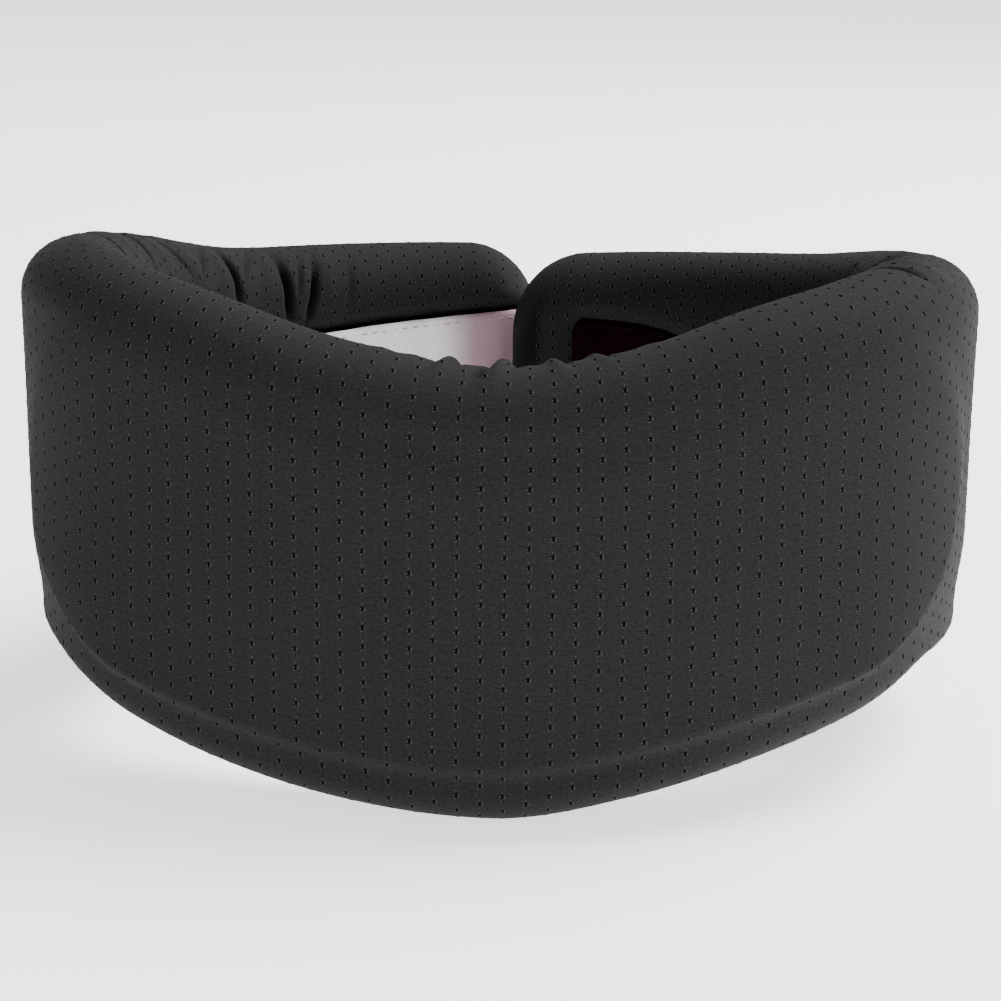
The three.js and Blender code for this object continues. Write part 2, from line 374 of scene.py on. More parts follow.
def knit_material():
    """Stretch knit: courses, wales, a drawn line in each perforated column, and soft heather."""
    size = sizes()
    colour = colours().knit
    shader = Shader("knit", colour, 0.85, sheen=0.02, specular=0.06)
    uv, along, up = cloth_uv(shader)
    wobble = shader.noise(uv, 160.0, 3.0)
    up_soft = shader.maths("MULTIPLY_ADD", wobble, 1.6 * MM, up)
    course = wave(shader, up_soft, size.course_pitch)
    wale = wave(shader, along, size.column_pitch / 12)
    column = wave(shader, along, size.column_pitch, COLUMN_SHARE * math.tau)
    drawn = shader.band(column, 0.990, 1.0)
    heather = shader.noise(uv, 1500.0, 5.0, 0.8)
    streak = shader.noise(shader.vector("MULTIPLY", uv, (2200.0, 260.0, 1.0)), 1.0, 2.0)
    ribs = shader.maths("MULTIPLY", shader.band(column, 0.55, 0.95), streak)
    cloud = shader.noise(uv, 22.0, 2.0)
    fine = shader.maths("MULTIPLY_ADD", course, 0.11, -1.0)
    fine = shader.maths("MULTIPLY_ADD", heather, 3.2, fine)
    fine = shader.maths("MULTIPLY_ADD", ribs, 0.30, fine)
    fine = shader.maths("MULTIPLY_ADD", cloud, 0.30, fine)
    fine = shader.maths("MULTIPLY_ADD", drawn, -0.45, fine)
    # Painted shade: closed folds and the inside of the right end are darkened.
    painted_shade = shader.add("ShaderNodeAttribute", {"attribute_name": "painted_shade"}).outputs["Fac"]
    # Painted bounce light: the knit below the board is lightened, as if lit from the floor.
    bounce_light = shader.add("ShaderNodeAttribute", {"attribute_name": "painted_bounce_light"}).outputs["Fac"]
    painted_light_gain = shader.maths("MULTIPLY_ADD", painted_shade, -0.92, 1.0)
    painted_light_gain = shader.maths("MULTIPLY_ADD", bounce_light, 0.7, painted_light_gain)
    shader.colour(shader.vector("MULTIPLY", shader.tint(colour, fine, 0.45, 1.5), painted_light_gain))
    shader.rough(shader.maths("MULTIPLY_ADD", heather, 0.12, 0.78))
    height = shader.maths("MULTIPLY_ADD", wale, 0.35, course)
    height = shader.maths("MULTIPLY_ADD", heather, 0.8, height)
    height = shader.maths("MULTIPLY_ADD", drawn, -0.5, height)
    shader.bump(height, 0.03 * MM, 0.4)
    return shader.material


def brushed_material(name, colour, fibre_scale, bump, sheen):
    """Brushed or looped pile: fibres run a little way along the cloth."""
    shader = Shader(name, colour, 1.0, sheen=sheen, specular=0.01)
    uv, _, _ = cloth_uv(shader)
    stretched = shader.add("ShaderNodeMapping", Vector=uv)
    stretched.inputs["Scale"].default_value = (1.0, 2.5, 1.0)
    fibre = shader.noise(stretched.outputs["Vector"], fibre_scale, 4.0, 0.7)
    patchy = shader.noise(uv, 60.0, 2.0)
    mixed = shader.maths("MULTIPLY_ADD", patchy, 0.5, shader.maths("MULTIPLY", fibre, 0.5))
    shader.colour(shader.tint(colour, mixed, 0.2, 1.8))
    shader.bump(fibre, bump)
    return shader.material


def hook_material():
    """Pale hook tape: fine rows of hooks on a tightly woven ground."""
    colour = colours().hook
    shader = Shader("hooked_weave", colour, 0.7, sheen=0.15, specular=0.3)
    uv, along, up = cloth_uv(shader)
    rows = wave(shader, up, 1.1 * MM)
    ribs = wave(shader, along, 0.9 * MM)
    hooks = shader.maths("MULTIPLY", rows, ribs)
    speckle = shader.noise(uv, 700.0, 3.0, 0.6)
    mixed = shader.maths("MULTIPLY_ADD", hooks, 0.18, speckle)
    # Painted shadow: towards the free end the pale tape turns a dark mauve, as in the shade of the
    # right end.
    near_end = shader.band(along, -LENGTH[-1] + 17 * MM, -LENGTH[-1] + 32 * MM, 1.0, 0.0)
    painted_shadow = shader.add("ShaderNodeMix", {"data_type": "RGBA"})
    shader.feed(painted_shadow.inputs[0], near_end)
    shader.feed(painted_shadow.inputs[6], shader.tint(colour, mixed, 0.84, 1.06))
    shader.feed(painted_shadow.inputs[7], shader.tint((0.40, 0.26, 0.29), mixed, 0.84, 1.06))
    shader.colour(painted_shadow.outputs[2])
    shader.bump(mixed, 0.12 * MM)
    return shader.material


def foam_material():
    """Open-cell foam: small round pores and a faint mottle."""
    colour = colours().foam
    shader = Shader("open_cell_foam", colour, 0.95, specular=0.1)
    place_at = shader.add("ShaderNodeTexCoord").outputs["Object"]
    pores = shader.add("ShaderNodeTexVoronoi", Vector=place_at, Scale=900.0)
    mottle = shader.noise(place_at, 80.0)
    mixed = shader.maths("MULTIPLY_ADD", pores.outputs["Distance"], 0.6, mottle)
    shader.colour(shader.tint(colour, mixed, 0.7, 1.15))
    shader.bump(pores.outputs["Distance"], 0.3 * MM)
    return shader.material


def board_material():
    """Milky sheet plastic with a fine moulded grain."""
    colour = colours().board
    shader = Shader("milky_sheet", colour, 0.45, specular=0.45)
    place_at = shader.add("ShaderNodeTexCoord").outputs["Object"]
    grain = shader.noise(place_at, 1500.0, 2.0)
    cloud = shader.noise(place_at, 30.0)
    shader.colour(shader.tint(colour, cloud, 0.92, 1.05))
    shader.rough(shader.maths("MULTIPLY_ADD", grain, 0.2, 0.38))
    shader.bump(grain, 0.03 * MM)
    return shader.material


def thread_material(name, colour):
    """Twisted sewing thread."""
    shader = Shader(name, colour, 0.7, specular=0.15)
    place_at = shader.add("ShaderNodeTexCoord").outputs["Object"]
    twist = shader.noise(place_at, 3000.0, 2.0)
    shader.colour(shader.tint(colour, twist, 0.7, 1.3))
    shader.bump(twist, 0.03 * MM)
    return shader.material


def dark_thread_material():
    return thread_material("dark_thread", (0.0030, 0.0010, 0.0020))


def pale_thread_material():
    return thread_material("pale_thread", (0.46, 0.36, 0.38))


def yarn_material():
    """Lighter yarn where the knit is drawn apart."""
    return thread_material("yarn_float", (0.060, 0.058, 0.060))


def hole_material():
    """The shade inside a perforation."""
    shader = Shader("hole_shade", (0.0015, 0.0013, 0.0016), 1.0, specular=0.05)
    place_at = shader.add("ShaderNodeTexCoord").outputs["Object"]
    shader.colour(shader.tint((0.0018, 0.0015, 0.0018), shader.noise(place_at, 2000.0), 0.5, 1.5))
    return shader.material


FLOOR_GLOW = 1.5


def floor_material():
    """Matt pale studio floor that glows evenly, like a lit sweep, so that shadows on it are weak."""
    colour = colours().floor
    shader = Shader("floor", colour, 0.9, specular=0.1)
    place_at = shader.add("ShaderNodeTexCoord").outputs["Object"]
    shader.colour(shader.tint(colour, shader.noise(place_at, 3.0), 0.995, 1.005))
    shader.shader.inputs["Emission Color"].default_value = (1, 1, 1, 1)
    shader.shader.inputs["Emission Strength"].default_value = FLOOR_GLOW
    return shader.material


def material(name, make):
    """The material of that name, made at its first use; no packed slot has the same name."""
    return bpy.data.materials.get(name) or make()


def pile_material():
    return brushed_material("looped_pile", colours().pile, 800.0, 0.8 * MM, 0.03)


def lining_material():
    return brushed_material("brushed_lining", colours().lining, 1800.0, 0.25 * MM, 0.0)


# ---- mesh helpers --------------------------------------------------------------------------------


def new_piece(name, points, faces, uvs=None, surface=None):
    """A smooth-shaded mesh object; uvs holds one place on the cloth for each face corner."""
    mesh = bpy.data.meshes.new(name)
    mesh.from_pydata([tuple(p) for p in points], [], [tuple(f) for f in faces])
    if uvs is not None:
        layer = mesh.uv_layers.new(name=CLOTH_UV)
        layer.data.foreach_set("uv", np.asarray(uvs, np.float32).ravel())
    mesh.polygons.foreach_set("use_smooth", np.ones(len(mesh.polygons), bool))
    if surface:
        mesh.materials.append(surface)
    mesh.update()
    piece = bpy.data.objects.new(name, mesh)
    bpy.context.scene.collection.objects.link(piece)
    return piece


def ride_or_blend(piece, side):
    """Front pieces ride on the front; side pieces are only baked in place and do not bend to their
    wing.
    """
    if side == FRONT:
        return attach(piece, BODIES[FRONT])
    sign = 1 if side == RIGHT else -1
    hinge = place(np.array([sign * HINGE_AT]), np.array([0]), np.array([BEND_LEVEL]))[0]
    start = place(np.array([sign * PART_AT]), np.array([2 * HALF_THICKNESS]), np.array([0]))[0, 1]
    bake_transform(piece)


def side_range(side):
    """Lowest and highest path length of the pieces of one side."""
    ranges = {
        LEFT: (-LENGTH[-1], -PART_AT),
        FRONT: (-PART_AT, PART_AT),
        RIGHT: (PART_AT, LENGTH[1]),
    }
    return ranges[side]


# ---- the cover -------------------------------------------------------------------------------------

COLUMN_SHARE = 0.4             # a column stands this share of a pitch left of the centre
PERFORATION_ROWS = 66
PERFORATION_FLOOR = -77 * MM
LIP_WIDTH = 4.0 * MM           # over which the rim turns down to the lining
WINDOW_CORNER = 3.5 * MM
BOARD_HALF = 104 * MM
BOARD_ABOVE_EDGE = 12.6 * MM
BOARD_TOP = (67.5 * MM, 88 * MM)
BOARD_RISE_LENGTH = 88 * MM
BOARD_END_RADIUS = 32 * MM
UPPER_SHARE = 0.45             # how much of the lift shows at the board's top edge,
LOWER_SHARE = 0.6              # at the middle of its bottom edge,
END_SHARE = 0.4                # and how much more at its ends
CAD_NODES = {LEFT: "cover_left", FRONT: "cover_front", RIGHT: "cover_right"}


def even_stations(low, high, step):
    """Path lengths from low to high, twice as close where the knit is folded."""
    fine = np.linspace(low, high, 4001)
    density = np.ones(len(fine))
    for start, stop in FINE_ZONES:
        density[(fine > start) & (fine < stop)] = 2.2
    count = np.concatenate([[0], np.cumsum((density[1:] + density[:-1]) / 2 * np.diff(fine))]) / step
    rings = int(math.ceil(count[-1]))
    return np.interp(np.linspace(0, count[-1], rings + 1), count, fine)


def cover_stations(step):
    """Path lengths of the cover's rings, closer together round the free ends."""
    turns = np.linspace(0, math.pi / 2, 14)[1:]
    near_end = HALF_THICKNESS * np.sin(turns)
    left_start = -LENGTH[-1] + HALF_THICKNESS
    right_start = LENGTH[1] - HALF_THICKNESS
    marks = (left_start, -PART_AT, PART_AT, right_start)
    parts = [even_stations(a, b, step)[:-1] for a, b in zip(marks, marks[1:])]
    return np.concatenate([(left_start - near_end)[::-1], *parts, [right_start],
                           right_start + near_end])


def rounded_inset(beside, beyond, radius):
    """Distance inside a shape with round corners, from the distances to its sides and its ends."""
    a = np.clip(radius - beside, 0, None)
    b = np.clip(radius - beyond, 0, None)
    in_corner = (a > 0) & (b > 0)
    return np.where(in_corner, radius - np.hypot(a, b), np.minimum(beside, beyond))


EXTRA_RIM = {                  # (path length, extra height of the rim) in mm
    1: [(0, 0), (110, 0), (195, 6), (215, 4.2), (233, 0.2), (252, -1.7), (272, -2)],
    -1: [(0, 0), (130, 0), (225, 3), (292, -2)],
}


def rim_height(s):
    """Height of the rim rolled onto the inner face."""
    sides = {side: np.array(table, float).T * MM for side, table in EXTRA_RIM.items()}
    left, right = (np.interp(np.abs(s), *sides[side]) for side in (-1, 1))
    return sizes().rim + np.where(np.asarray(s) < 0, left, right)


def end_rim(s):
    size = sizes()
    return np.where(np.asarray(s) < 0, size.left_end_rim, size.right_end_rim)


def window_edges(s):
    """Bottom and top of the recess for the lining, before its corners are rounded."""
    rim = rim_height(s)
    return np.maximum(by_side(s, BOTTOM_EDGE), 0) + rim, by_side(s, TOP_EDGE) - rim


def window_depth(s, z):
    """From 0 on the rims to 1 in the recess that holds the lining."""
    low, high = window_edges(s)
    beside = np.minimum(high - z, z - low)
    inset = rounded_inset(beside, from_end(s) - end_rim(s), WINDOW_CORNER)
    return smoothstep(-LIP_WIDTH, 0, inset)


UPPER_PART = (35 * MM, 65 * MM)      # heights between which the board's edge is taken as its top
STEP_OUTSIDE = (2.2 * MM, 4.8 * MM)  # reach of the step outside the board, and more at its top
STEP_INSIDE = (0.8 * MM, 2.2 * MM)   # the same inside it
LIFT_OUTER = (15 * MM, 80 * MM)      # path lengths between which the board's ends begin
BOUNCE_LIGHT_LEFT = 0.55
BOUNCE_LIGHT_RISE = (20 * MM, 90 * MM)      # path lengths over which the painted bounce light begins,
BOUNCE_LIGHT_FALL = (104 * MM, 130 * MM)    # and over which it ends
BOUNCE_LIGHT_TOP = (45 * MM, 80 * MM)       # heights over which it ends on the right
UNDER_PULL = 1.4 * MM                # the knit is drawn in under the ends of the board
PULL_RISE = (72 * MM, 100 * MM)
PULL_FALL = (112 * MM, 150 * MM)
PULL_HEIGHT = (10 * MM, 26 * MM)


def hump(distance, rise, fall):
    """From 0 to 1 over the stretch called rise, and back to 0 over the one called fall."""
    return smoothstep(*rise, distance) * (1 - smoothstep(*fall, distance))


def board_shape(s, z, bottom):
    """From 0 to 1 where the support board lies under the knit, and the share that is its top."""
    rise = smoothstep(0, BOARD_RISE_LENGTH, np.abs(s))
    top_edge = BOARD_TOP[0] + (BOARD_TOP[1] - BOARD_TOP[0]) * rise
    beside = np.minimum(top_edge - z, z - bottom - BOARD_ABOVE_EDGE)
    inset = rounded_inset(beside, BOARD_HALF - np.abs(s), BOARD_END_RADIUS)
    upper = smoothstep(*UPPER_PART, z)
    outside = -STEP_OUTSIDE[0] - STEP_OUTSIDE[1] * upper
    inside = STEP_INSIDE[0] + STEP_INSIDE[1] * upper
    return smoothstep(outside, inside, inset), upper


def board_lift(s, z, bottom):
    """From 0 to 1: how far the board lifts the knit, least along its top edge."""
    shape, upper = board_shape(s, z, bottom)
    outer = smoothstep(*LIFT_OUTER, np.abs(s))
    return shape * (UPPER_SHARE * upper + (LOWER_SHARE + END_SHARE * outer) * (1 - upper))


def painted_bounce_light(s, z, bottom):
    """From 0 to 1 where the knit lies below the board: painted bounce light that makes it look lighter.
    """
    shape, upper = board_shape(s, z, bottom)
    outer = hump(np.abs(s), BOUNCE_LIGHT_RISE, BOUNCE_LIGHT_FALL)
    left = BOUNCE_LIGHT_LEFT * (1 - upper)
    right = 1 - smoothstep(*BOUNCE_LIGHT_TOP, z)
    return (1 - shape) * outer * np.where(s < 0, left, right)


def under_board_ends(s, z, bottom):
    """From 0 to 1 below the ends of the board, near the bottom edge."""
    beside = hump(np.abs(s), PULL_RISE, PULL_FALL)
    return beside * (1 - smoothstep(*PULL_HEIGHT, z - bottom))


# Folds of the knit: (path length, share of the way over the top rim, lean, height, width) in mm.
FRONT_PUCKERS = [
    (-9.0, 0.58, -10, 1.2, 1.3), (-7.0, 0.62, -9, -0.8, 0.7), (-11.8, 0.58, -11, -0.4, 0.9),
    (-1.5, 0.53, -13, -2.2, 0.8), (1.2, 0.56, -9, 1.5, 1.5), (4.4, 0.60, -6, -0.4, 0.9),
    (11.2, 0.58, 7, 1.0, 1.4), (13.6, 0.60, 8, -0.7, 0.8), (19.5, 0.60, 10, 0.8, 1.3),
    (21.8, 0.62, 10, -0.6, 0.8), (30, 0.66, 12, 0.35, 1.8), (-22, 0.66, -12, 0.35, 1.8),
    (-16, 0.66, -8, 0.4, 1.5),
]
LEFT_GATHERS = [
    (-128.8, 0.69, -20, -1.8, 0.7), (-139, 0.66, -10, 0.4, 2.5), (-150.1, 0.69, -10, -1.9, 0.7),
    (-158, 0.72, 0, 0.35, 2.4), (-167, 0.77, 20, -0.9, 1.1), (-173, 0.75, 10, 0.35, 2.2),
    (-179.5, 0.78, -30, -0.8, 1.0), (-186, 0.80, 0, 0.4, 2.0), (-191.8, 0.87, 0, -2.9, 1.1),
    (-199, 0.76, -35, -0.6, 1.2), (-206, 0.80, -10, 0.4, 2.2), (-212, 0.93, 0, -3.1, 1.2),
    (-217, 0.85, -16, -0.9, 0.9), (-221, 0.96, -12, -2.8, 1.0), (-227, 0.85, -8, 0.35, 2.0),
    (-234, 0.90, -8, -0.5, 1.4),
]
RIGHT_GATHERS = [
    (91.5, 0.50, 15, -2.0, 0.9), (97.5, 0.50, 15, 0.9, 2.2), (112, 0.70, 4, -0.9, 0.9),
    (121, 0.76, 6, -1.6, 1.0), (126, 0.78, 5, 0.4, 1.5), (133, 0.76, 6, -1.1, 0.9),
    (141, 0.74, 0, -1.9, 2.6), (156, 0.84, 5, -0.6, 1.2),
]
FULL_CREASE = 1.6 * MM         # a fold this deep is closed, and gets the full painted shade inside
FINE_ZONES = ((-236 * MM, -122 * MM), (-34 * MM, 36 * MM), (90 * MM, 146 * MM))


def folds(s, over):
    """Height of the folds at path length s; over runs from 0 at the outer edge of the rim to 1."""
    height = np.zeros_like(s)
    for at, middle, lean, tall, wide in FRONT_PUCKERS + LEFT_GATHERS + RIGHT_GATHERS:
        centre = (at + lean * (middle - over)) * MM
        reach = 0.07 + 0.02 * abs(tall) + 0.05 * wide
        spread = wide * MM * (1 + 1.2 * np.abs(over - middle))
        along_fold = np.exp(-((over - middle) / reach) ** 2)
        height += tall * MM * along_fold * np.exp(-((s - centre) / spread) ** 2)
    return height


END_SHADE = 0.8
SHADED_END = (6 * MM, 10 * MM)       # distances from the free end over which the shade ends
SHADED_TOP = (-12 * MM, -4 * MM)     # and heights against the top edge


def end_shade(s, z, top):
    """From 0 to 1 on the inside of the right end, which lies folded under the left: painted shade that
    makes it dark.
    """
    near_end = 1 - smoothstep(*SHADED_END, from_end(s))
    below_rim = 1 - smoothstep(*SHADED_TOP, z - top)
    return END_SHADE * near_end * below_rim * (s > 0)


def soft_waves(s, v):
    """Low, slow unevenness of a hand-filled cover."""
    x, y = s / MM, v / MM
    first = np.sin(x / 17 + 0.6 * np.sin(y / 31)) * np.sin(y / 23 + 1.1)
    second = np.sin(x / 7.3 + y / 19 + 2.0) * np.sin(y / 11 - x / 41)
    return (0.16 * first + 0.07 * second) * MM


FLAT_ROWS = 60
HALF_FLAT_ROWS = 24
TURN_ROWS = 44
NOT_OVER = -9.0                # away from the top rim, where no fold reaches
FACING_IN = 0.2                # the recess starts where the rim's normal is past this
TAPER_LENGTH = 14 * MM         # the folds and waves fade out over this before a free end
BARE_TIP = 2 * MM              # no eyelets so near a free end,
BARE_WINDOW = 0.9              # or so deep in the recess,
BARE_SHADE = 0.3               # or in so much shade
BOUNCE_LIGHT_OVER = 0.1               # the painted bounce light stops this share of the way over the top rim


def cover_rings(stations):
    """The cover before anything lifts it, as grids with one row for each ring.

    Each part of a ring gives x, inwards of the middle, z, the x and z of its normal, the height on
    the flat cloth, and the share of the way over the top rim. Round the ring they are: inner face
    down, under, outer face up, over the top, inner face down.
    """
    bottom, top, half = (edge[:, None] for edge in edges(stations))
    low, high = bottom + LOW_RIM, top - RIM
    middle = (low + high) / 2
    flat = np.linspace(0, 1, FLAT_ROWS)[None, :]
    half_flat = np.linspace(0, 1, HALF_FLAT_ROWS)[None, :]
    turn = np.linspace(0, math.pi, TURN_ROWS)[None, 1:-1]
    across, round_rim = np.cos(turn), np.sin(turn)
    inner_low = middle + (low - middle) * half_flat
    outer = low + (high - low) * flat
    inner_high = high + (middle - high) * half_flat
    parts = [
        (half, inner_low, 1.0, 0.0, low - LOW_RIM * math.pi - (inner_low - low), NOT_OVER),
        (half * across, low - LOW_RIM * round_rim, across, -round_rim,
         low - LOW_RIM * (math.pi - turn), NOT_OVER),
        (-half, outer, -1.0, 0.0, outer, NOT_OVER),
        (-half * across, high + RIM * round_rim, -across, round_rim,
         high + RIM * turn, turn / math.pi),
        (half, inner_high, 1.0, 0.0, high + RIM * math.pi + (high - inner_high),
         1 + (high - inner_high) / (RIM * math.pi)),
    ]
    spread = [np.broadcast_arrays(*part) for part in parts]
    return [np.concatenate(column, 1) for column in zip(*spread)]


def cover_surface():
    """Every point of the cover as a grid of rings, with cloth coordinates and where it shows."""
    size = sizes()
    stations = cover_stations(size.mesh_step)
    x, z, normal_x, normal_z, v, over = cover_rings(stations)
    s = stations[:, None] + 0 * x
    bottom, top = (edge[:, None] + 0 * x for edge in edges(stations)[:2])
    inner = x > 0
    outer_face = ~inner
    window = window_depth(s, z) * (normal_x > FACING_IN) * inner
    taper = smoothstep(0, TAPER_LENGTH, from_end(s))
    fold = folds(s, over) * taper * (1 - window)
    lift = -size.recess * window
    lift += size.board_rise * board_lift(s, z, bottom) * outer_face
    lift -= UNDER_PULL * under_board_ends(s, z, bottom) * outer_face
    lift += fold
    lift += soft_waves(s, v) * taper
    x = x + lift * normal_x
    z = z + lift * normal_z
    points = place(s, HALF_THICKNESS + x, z)
    shade = end_shade(s, z, top) * inner
    shows = (window < BARE_WINDOW) & (from_end(s) > BARE_TIP) & (shade < BARE_SHADE)
    # Painted shade: closed folds and the inside of the right end are made darker.
    painted_shade = np.maximum(np.clip(-fold / FULL_CREASE, 0, 1), shade)
    # Painted bounce light: the knit below the board is made lighter, as if lit from the floor.
    bounce_light = painted_bounce_light(s, z, bottom) * outer_face * (over < BOUNCE_LIGHT_OVER)
    return {"s": s, "v": v, "points": points, "shows": shows, "painted_shade": painted_shade, "painted_bounce_light": bounce_light}


def grid_faces(rings, around):
    """Quads between rings of points that close on themselves."""
    i, j = np.meshgrid(np.arange(rings - 1), np.arange(around), indexing="ij")
    following = (j + 1) % around
    return np.stack([i * around + j, (i + 1) * around + j,
                     (i + 1) * around + following, i * around + following], -1).reshape(-1, 4)


def cover_piece(side, surface, normals):
    """One of the three pieces of the cover, with the normals of the whole cover."""
    low, high = side_range(side)
    s = surface["s"][:, 0]
    rows = np.where((s >= low - 1e-9) & (s <= high + 1e-9))[0]
    around = surface["points"].shape[1] - 1
    points = surface["points"][rows, :-1].reshape(-1, 3)
    faces = grid_faces(len(rows), around)
    ring = np.arange(around)
    corner_i = np.repeat(np.arange(len(rows) - 1), around)
    corner_j = np.tile(ring, len(rows) - 1)
    steps = ((0, 0), (1, 0), (1, 1), (0, 1))
    along = np.stack([surface["s"][rows][corner_i + a, corner_j + b] for a, b in steps], -1)
    up = np.stack([surface["v"][rows][corner_i + a, corner_j + b] for a, b in steps], -1)
    uvs = np.stack([along, up], -1).reshape(-1, 2)
    caps = [tuple(ring), tuple((len(rows) - 1) * around + ring[::-1])]
    all_faces = [tuple(f) for f in faces] + caps
    uvs = np.concatenate([uvs, np.full((2 * around, 2), (s[rows[0]], 0.0))])
    piece = new_piece(CAD_NODES[side] + "_knit", points, all_faces, uvs,
                      material("knit", knit_material))
    for name in ("shows", "painted_shade", "painted_bounce_light"):
        values = piece.data.attributes.new(name, "FLOAT", "POINT")
        values.data.foreach_set("value", surface[name][rows, :-1].astype(np.float32).ravel())
    piece.data.normals_split_custom_set_from_vertices(normals[rows].reshape(-1, 3))
    return piece


def whole_normals(surface):
    """Vertex normals of the whole cover, so that its three pieces shade as one."""
    points = surface["points"][:, :-1]
    along = np.gradient(points, axis=0)
    padded = np.concatenate([points[:, -1:], points, points[:, :1]], 1)
    across = (padded[:, 2:] - padded[:, :-2]) / 2
    normals = np.cross(along, across)
    length = np.linalg.norm(normals, axis=-1, keepdims=True)
    normals = normals / np.maximum(length, 1e-12)
    flat = length[..., 0] < 1e-12
    normals[flat] = (0, 0, 1)
    return normals


class COLLAR_OT_cover(bpy.types.Operator):
    """Knitted cover: rolled rims, the recess for the lining, the lift of the board, and folds"""

    bl_idname = "collar.cover"
    bl_label = "Knitted cover"

    def execute(self, context):
        surface = cover_surface()
        normals = whole_normals(surface)
        for side in (LEFT, FRONT, RIGHT):
            piece = cover_piece(side, surface, normals)
            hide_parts(CAD_NODES[side])
            ride_or_blend(piece, side)
        return {"FINISHED"}


# ---- sheets: lining and patches ------------------------------------------------------------------

LINING_THICKNESS = 0.6 * MM
LINING_LIFT = 0.5 * MM         # gap between the cover's recess and the middle of the lining
LINING_TUCK = 0.5 * MM         # lining hidden under the lips of the rims
HOOK_MARGIN = 0.3 * MM
LOOP_MARGIN = 3.0 * MM
LOOP_FROM_END = 13 * MM
HOOK_LIFT = 1.45 * MM          # middle of the hook tape above the recess
LOOP_LIFT = -0.7 * MM          # middle of the loop pile, outside the outer face
HOOK_CORNER = 3 * MM
LOOP_CORNER = 6 * MM
SEAM_INSET = 1.6 * MM


def sheet_piece(name, s, low, high, inwards, thickness, surface, rows=30):
    """A thin closed sheet along the neck line between two heights; returns it and its area."""
    t = np.linspace(0, 1, rows)[None, :]
    along = s[:, None] + 0 * t
    z = low[:, None] + (high - low)[:, None] * t
    # Fine puffs along the sewn edges, fading towards the middle.
    inside = np.minimum(z - low[:, None], high[:, None] - z)
    puff = 0.18 * MM * np.exp(-inside / (5 * MM)) * np.sin(along / (2.1 * MM))
    middle = inwards + puff + soft_waves(along, z) * 0.5
    edge_thin = 0.35 + 0.65 * smoothstep(0, 1.5 * MM, inside)
    front = place(along, middle + thickness / 2 * edge_thin, z)
    back = place(along, middle - thickness / 2 * edge_thin, z)[:, ::-1]
    rings = np.concatenate([front, back], 1)
    around = rings.shape[1]
    faces = grid_faces(len(s), around).tolist()
    last = (len(s) - 1) * around
    for j in range(rows - 1):
        cap = [j, j + 1, around - 2 - j, around - 1 - j]
        faces.append(cap)
        faces.append([last + k for k in cap[::-1]])
    across = np.concatenate([z, z[:, ::-1]], 1)
    s_ring = np.concatenate([along, along], 1)
    places = np.stack([s_ring, across], -1).reshape(-1, 2)
    corners = [k for face in faces for k in face]
    piece = new_piece(name, rings.reshape(-1, 3), faces, places[corners], surface)
    outward_faces(piece)
    sides = front[1:, :-1] - front[:-1, :-1], front[:-1, 1:] - front[:-1, :-1]
    area = np.linalg.norm(np.cross(*sides), axis=-1).sum()
    return piece, float(area)


def outward_faces(piece):
    shape = bmesh.new()
    shape.from_mesh(piece.data)
    bmesh.ops.recalc_face_normals(shape, faces=shape.faces)
    shape.to_mesh(piece.data)
    shape.free()


def lining_reach(side):
    """Where one piece of the lining starts and stops along the collar."""
    low, high = side_range(side)
    if side == LEFT:
        low += sizes().left_end_rim - LINING_TUCK
    if side == RIGHT:
        high -= sizes().right_end_rim - LINING_TUCK
    return low, high


def inner_band(s, margin, end_distance, corner):
    """Bottom and top of a band inside the rims, rounded towards a free end."""
    low, high = window_edges(s)
    drop = corner_drop(end_distance, corner)
    return low + margin + drop, high - margin - drop


def outer_band(s, margin, end_distance, corner):
    """Bottom and top of a band on the flat of the outer face."""
    bottom, top, _ = edges(s)
    drop = corner_drop(end_distance, corner)
    return bottom + RIM + margin + drop, top - RIM - margin - drop


def stations_between(low, high, step, round_low=0.0, round_high=0.0):
    """Path lengths from low to high, closer together over any round ends."""
    turns = np.linspace(0, math.pi / 2, 9)
    first = low + round_low * (1 - np.cos(turns))[:-1] if round_low else np.array([])
    last = high - round_high * (1 - np.cos(turns[::-1]))[1:] if round_high else np.array([])
    count = max(2, int((high - round_high - low - round_low) / step) + 1)
    return np.concatenate([first, np.linspace(low + round_low, high - round_high, count), last])


def recess_floor(s):
    """Depth of the recess behind the outer face, thinner round the free ends."""
    half = edges(s)[2]
    return HALF_THICKNESS + half - sizes().recess


def end_distances(s, low, high, at_low, at_high):
    """Distance to the nearest round end."""
    distance = np.full(s.shape, 1.0)
    if at_low:
        distance = np.minimum(distance, s - low)
    if at_high:
        distance = np.minimum(distance, high - s)
    return np.maximum(distance, 0)


class COLLAR_OT_lining(bpy.types.Operator):
    """Dark brushed lining, set back between the rims and sewn under their edges"""

    bl_idname = "collar.lining"
    bl_label = "Lining"

    def execute(self, context):
        for side in (LEFT, FRONT, RIGHT):
            low, high = lining_reach(side)
            ends = (side == LEFT, side == RIGHT)
            s = stations_between(low, high, 2.5 * MM, *(WINDOW_CORNER * end for end in ends))
            away = end_distances(s, low, high, *ends)
            z_low, z_high = inner_band(s, -LINING_TUCK, away, WINDOW_CORNER)
            depth = recess_floor(s)[:, None] + LINING_LIFT
            piece, area = sheet_piece("lining_" + side + "_cloth", s, z_low, z_high, depth,
                                      LINING_THICKNESS, material("brushed_lining", lining_material))
            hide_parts("lining_" + side)
            ride_or_blend(piece, side)
        return {"FINISHED"}


